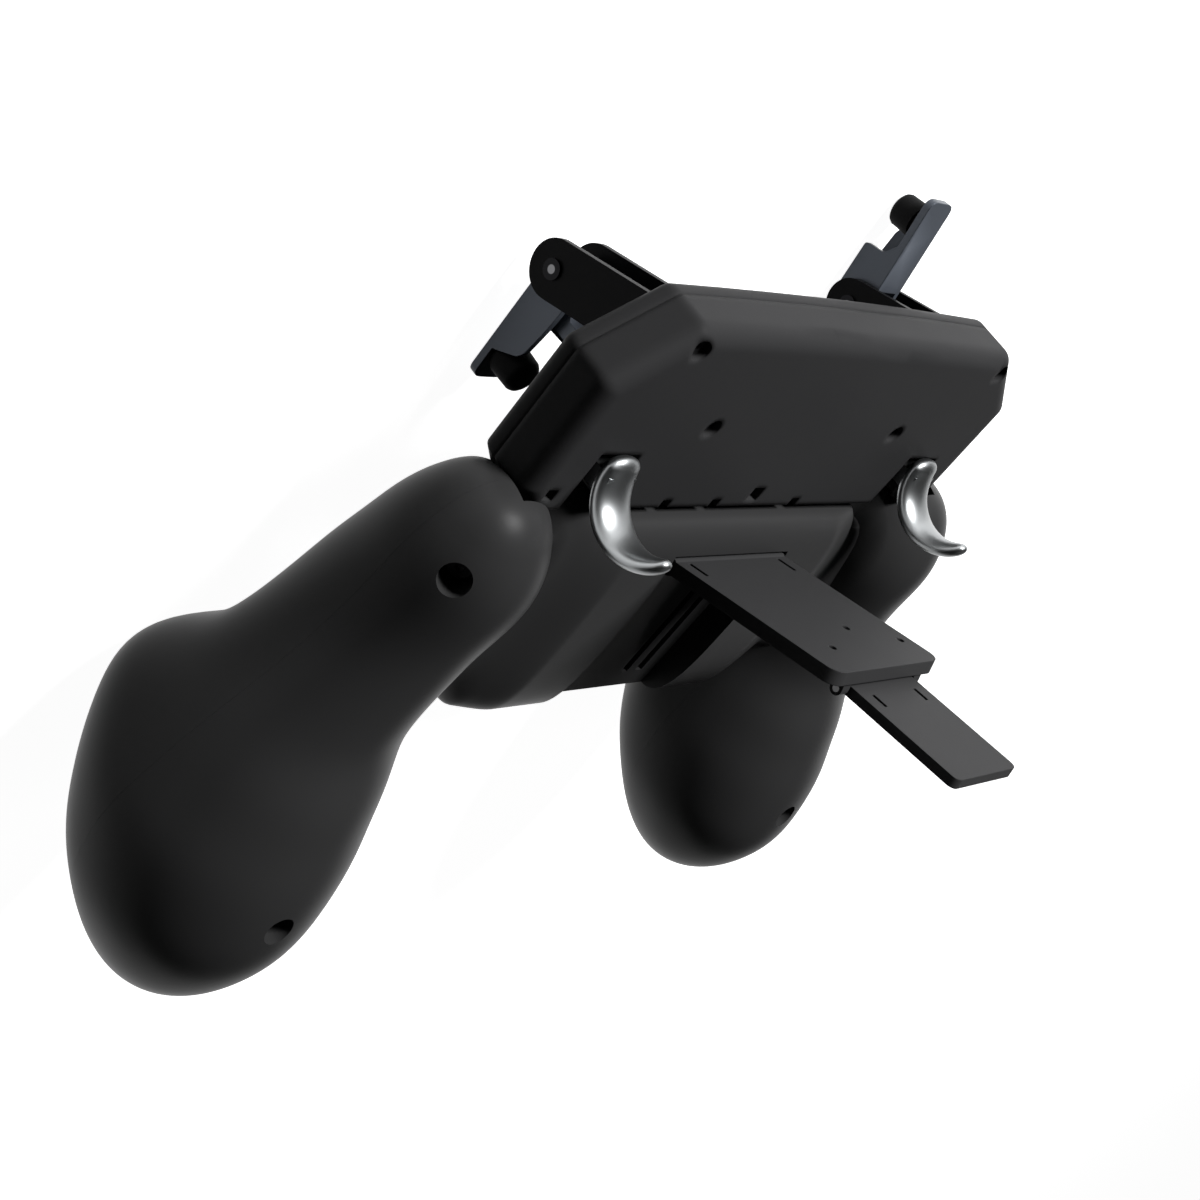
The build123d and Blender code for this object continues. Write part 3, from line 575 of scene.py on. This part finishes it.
def bridge_ring(x):
    """Cross-section of the bridge at one place across its width, from the full body to the slim neck."""
    slim = ease((abs(x) - BRIDGE_HALF) / (NECK_START - BRIDGE_HALF)) ** NECK_FALL
    lower = ease((abs(x) - BLOCK_HALF) / (NECK_START - BLOCK_HALF))
    swell = COLLAR_SWELL * ease((abs(x) - COLLAR_START) / (NECK_END - COLLAR_START))
    top = BRIDGE_TOP + (NECK_TOP - BRIDGE_TOP) * lower + swell
    low = BRIDGE_LOW + (NECK_LOW - BRIDGE_LOW) * lower - swell
    back = BRIDGE_BACK + (NECK_BACK - BRIDGE_BACK) * slim + swell
    front = BRIDGE_FRONT + (NECK_FRONT - BRIDGE_FRONT) * slim
    back_power = BRIDGE_SQUARENESS + (NECK_SQUARENESS - BRIDGE_SQUARENESS) * slim
    front_power = BRIDGE_FRONT_SQUARENESS + (NECK_SQUARENESS - BRIDGE_FRONT_SQUARENESS) * lower
    points = []
    for a in ring_angles(BRIDGE_SPOKES):
        y, z = squared_circle(a, front_power if cos(a) < 0 else back_power)
        points.append((x, (back + front) / 2 + (back - front) / 2 * y, (top + low) / 2 + (top - low) / 2 * z))
    return points


def bridge():
    """Back cover of the bridge, faired into the shoulders, with the stand's pocket and its grooves."""
    stations = np.linspace(-NECK_END, NECK_END, BRIDGE_STATIONS)
    bm = skin([bridge_ring(float(x)) for x in stations])
    trim(bm, BRIDGE_SEAM, True)
    obj = finish_mesh("bridge_back_skin", bm)
    across = (-POCKET_HALF_WIDTH, POCKET_HALF_WIDTH)
    low = BRIDGE_LOW - OVERRUN
    cut_with(obj, brick("pocket", across, (POCKET_FLOOR, BRIDGE_BACK + OVERRUN), (low, POCKET_TOP)), "pocket")
    front = BRIDGE_SEAM - OVERRUN
    plate = (-SLIDER_HALF_WIDTH, SLIDER_HALF_WIDTH)
    room = brick("slider_room", plate, (front, SLIDER_BACK), (SLIDER_LOW, BRIDGE_TOP + OVERRUN))
    cut_with(obj, room, "slider")
    for side in (1, -1):
        lug_x = sorted(side * v for v in LUG_X)
        cut_with(obj, brick("lug_room", lug_x, (front, LUG_BACK), LUG_Z), "lug")
    for x in POCKET_GROOVES:
        wide = (x - GROOVE_HALF_WIDTH, x + GROOVE_HALF_WIDTH)
        deep = (POCKET_FLOOR - GROOVE_DEPTH, POCKET_FLOOR + GROOVE_OVERRUN)
        cut_with(obj, brick("groove", wide, deep, (GROOVE_LOW, GROOVE_HIGH)), "groove")
    sharpen(obj)
    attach(obj, "frame")
    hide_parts("bridge_back_cover")
    paint(obj, "grip_plastic")


# Materials

def shader(name, color, roughness, metallic, specular, grain, uneven, bevel):
    """Plastic, rubber or metal with fine grain, uneven gloss and slightly rounded edges."""
    mat = bpy.data.materials.new(name)
    mat.use_nodes = True
    nodes = mat.node_tree.nodes
    links = mat.node_tree.links
    face = nodes["Principled BSDF"]
    face.inputs["Base Color"].default_value = (*color, 1)
    face.inputs["Metallic"].default_value = metallic
    face.inputs["Roughness"].default_value = roughness
    face.inputs["Specular IOR Level"].default_value = specular
    place = nodes.new("ShaderNodeTexCoord")
    normal = None
    if bevel:
        edge = nodes.new("ShaderNodeBevel")
        edge.samples = BEVEL_SAMPLES
        edge.inputs["Radius"].default_value = bevel * MM
        normal = edge.outputs["Normal"]
    if grain:
        speck = nodes.new("ShaderNodeTexNoise")
        speck.inputs["Scale"].default_value = GRAIN_SCALE
        speck.inputs["Detail"].default_value = GRAIN_DETAIL
        links.new(place.outputs["Object"], speck.inputs["Vector"])
        bump = nodes.new("ShaderNodeBump")
        bump.inputs["Strength"].default_value = grain
        bump.inputs["Distance"].default_value = GRAIN_HEIGHT * MM
        links.new(speck.outputs["Fac"], bump.inputs["Height"])
        if normal:
            links.new(normal, bump.inputs["Normal"])
        normal = bump.outputs["Normal"]
    if normal:
        links.new(normal, face.inputs["Normal"])
    if uneven:
        cloud = nodes.new("ShaderNodeTexNoise")
        cloud.inputs["Scale"].default_value = CLOUD_SCALE
        cloud.inputs["Detail"].default_value = CLOUD_DETAIL
        links.new(place.outputs["Object"], cloud.inputs["Vector"])
        spread = nodes.new("ShaderNodeMapRange")
        spread.inputs["To Min"].default_value = max(roughness - uneven, LEAST_ROUGHNESS)
        spread.inputs["To Max"].default_value = roughness + uneven
        links.new(cloud.outputs["Fac"], spread.inputs["Value"])
        links.new(spread.outputs["Result"], face.inputs["Roughness"])
    return mat


def pin_shader():
    """Metal of the arms' pins, whose end and collar are told apart by the distance to their axis."""
    mat = shader("arm_pin_steel", *PIN_LOOK)
    nodes = mat.node_tree.nodes
    links = mat.node_tree.links
    axis = TO_ROW @ Vector((0, ARM_PIN_Y, ARM_PIN_Z))
    place = nodes.new("ShaderNodeTexCoord")
    level = nodes.new("ShaderNodeVectorMath")
    level.operation = "MULTIPLY"
    level.inputs[1].default_value = (0, 1, 1)
    links.new(place.outputs["Object"], level.inputs[0])
    away = nodes.new("ShaderNodeVectorMath")
    away.operation = "DISTANCE"
    away.inputs[1].default_value = (0, axis[1], axis[2])
    links.new(level.outputs["Vector"], away.inputs[0])
    edge = nodes.new("ShaderNodeMapRange")
    edge.inputs["From Min"].default_value = PIN_END_RADIUS * MM
    edge.inputs["From Max"].default_value = PIN_END_RADIUS * PIN_EDGE_SPREAD * MM
    links.new(away.outputs["Value"], edge.inputs["Value"])
    tone = nodes.new("ShaderNodeMix")
    tone.data_type = "RGBA"
    tone.inputs["A"].default_value = (*PIN_LOOK[0], 1)
    tone.inputs["B"].default_value = (*PIN_COLLAR, 1)
    links.new(edge.outputs["Result"], tone.inputs["Factor"])
    links.new(tone.outputs["Result"], nodes["Principled BSDF"].inputs["Base Color"])
    return mat


MATERIALS = {name: shader(name, *look) for name, look in LOOKS.items()}
ARM_PIN_LOOK = pin_shader()


def paint(obj, slot):
    """Give a piece its material and slot."""
    obj.data.materials.clear()
    obj.data.materials.append(MATERIALS[slot])


def paint_frame():
    """Give every CAD piece its material. The rockers look like the arms that they carry."""
    for part in frame["record"]["subparts"]:
        obj = frame["nodes"][part["node"]]
        look = MATERIALS[part["material_slot"]]
        if part["node"].startswith("arm_pin"):
            look = ARM_PIN_LOOK
        if part["node"].startswith("rocker"):
            look = MATERIALS["arm_plastic"]
        for k in range(len(obj.data.materials)):
            obj.data.materials[k] = look


# Floor, light and camera

def floor_material():
    """Pale floor that looks white but throws little light back at the part."""
    mat = bpy.data.materials.new("floor")
    mat.use_nodes = True
    nodes = mat.node_tree.nodes
    links = mat.node_tree.links
    face = nodes["Principled BSDF"]
    face.inputs["Roughness"].default_value = FLOOR_ROUGHNESS
    face.inputs["Specular IOR Level"].default_value = 0.0
    tone = nodes.new("ShaderNodeMix")
    tone.data_type = "RGBA"
    tone.inputs["A"].default_value = (FLOOR_BOUNCE, FLOOR_BOUNCE, FLOOR_BOUNCE, 1)
    tone.inputs["B"].default_value = (FLOOR_TONE, FLOOR_TONE, FLOOR_TONE, 1)
    glow = nodes.new("ShaderNodeEmission")
    glow.inputs["Color"].default_value = (1, 1, 1, 1)
    path = nodes.new("ShaderNodeLightPath")
    seen = path.outputs[WHITE_RAYS[0]]
    for ray in WHITE_RAYS[1:]:
        either = nodes.new("ShaderNodeMath")
        either.operation = "MAXIMUM"
        links.new(seen, either.inputs[0])
        links.new(path.outputs[ray], either.inputs[1])
        seen = either.outputs["Value"]
    scale = nodes.new("ShaderNodeMath")
    scale.operation = "MULTIPLY"
    scale.inputs[1].default_value = FLOOR_GLOW
    links.new(seen, scale.inputs[0])
    links.new(seen, tone.inputs["Factor"])
    links.new(tone.outputs["Result"], face.inputs["Base Color"])
    links.new(scale.outputs["Value"], glow.inputs["Strength"])
    both = nodes.new("ShaderNodeAddShader")
    links.new(face.outputs["BSDF"], both.inputs[0])
    links.new(glow.outputs["Emission"], both.inputs[1])
    links.new(both.outputs["Shader"], nodes["Material Output"].inputs["Surface"])
    return mat


def floor():
    """Floor whose edge turns up all round."""
    bm = bmesh.new()
    bmesh.ops.create_grid(bm, x_segments=1, y_segments=1, size=FLOOR_SIZE)
    raised = bmesh.ops.extrude_edge_only(bm, edges=[e for e in bm.edges if e.is_boundary])
    rim = [v for v in raised["geom"] if isinstance(v, bmesh.types.BMVert)]
    bmesh.ops.translate(bm, verts=rim, vec=(0, 0, BACKDROP_HEIGHT))
    mesh = bpy.data.meshes.new("floor")
    bm.to_mesh(mesh)
    bm.free()
    obj = new_object("floor", mesh)
    mesh.materials.append(floor_material())


def area_light(name, direction, distance, size, power):
    """Soft square light seen from the part along a direction in the part's axes, in millimetres."""
    light = bpy.data.lights.new(name, "AREA")
    light.shape = "SQUARE"
    light.size = size * MM
    light.energy = power
    obj = new_object(name, light)
    target = TO_ROW @ Vector(LIGHT_AIM)
    place = TO_ROW @ (Vector(LIGHT_AIM) + Vector(direction).normalized() * distance)
    obj.location = place
    obj.rotation_euler = (target - place).to_track_quat("-Z", "Y").to_euler()


def lights():
    """The lamps, and a dim even room round them."""
    for lamp in LAMPS:
        area_light(*lamp)
    world = bpy.data.worlds.new("room")
    world.use_nodes = True
    room = world.node_tree.nodes["Background"]
    room.inputs["Color"].default_value = (1, 1, 1, 1)
    room.inputs["Strength"].default_value = ROOM_LIGHT
    bpy.context.scene.world = world


def camera():
    """The photograph's camera."""
    data = bpy.data.cameras.new("camera")
    data.lens = LENS
    data.sensor_width = SENSOR_WIDTH
    data.clip_start = CLIP_START
    data.clip_end = CLIP_END
    obj = new_object("camera", data)
    right = UNTURN @ Vector(CAMERA_RIGHT)
    up = UNTURN @ -Vector(CAMERA_DOWN)
    back = UNTURN @ -Vector(CAMERA_VIEW)
    turn = Matrix((right, up, back)).transposed()
    obj.matrix_world = Matrix.Translation(TO_ROW @ Vector(CAMERA_PLACE)) @ turn.to_4x4()
    bpy.context.scene.camera = obj


def main():
    """Dress the part, light it, and set out the floor and the camera."""
    paint_frame()
    for side, word in ((1, "right"), (-1, "left")):
        grip(side, word)
        claw(side, word)
    for side, word, flip in ((1, "right", 0.0), (-1, "left", ARM_FLIP)):
        touch_arm(side, word, flip)
        touch_pad(side, word, flip)
    bridge()
    floor()
    lights()
    camera()
    scene = bpy.context.scene
    scene.view_settings.view_transform = "Standard"


main()
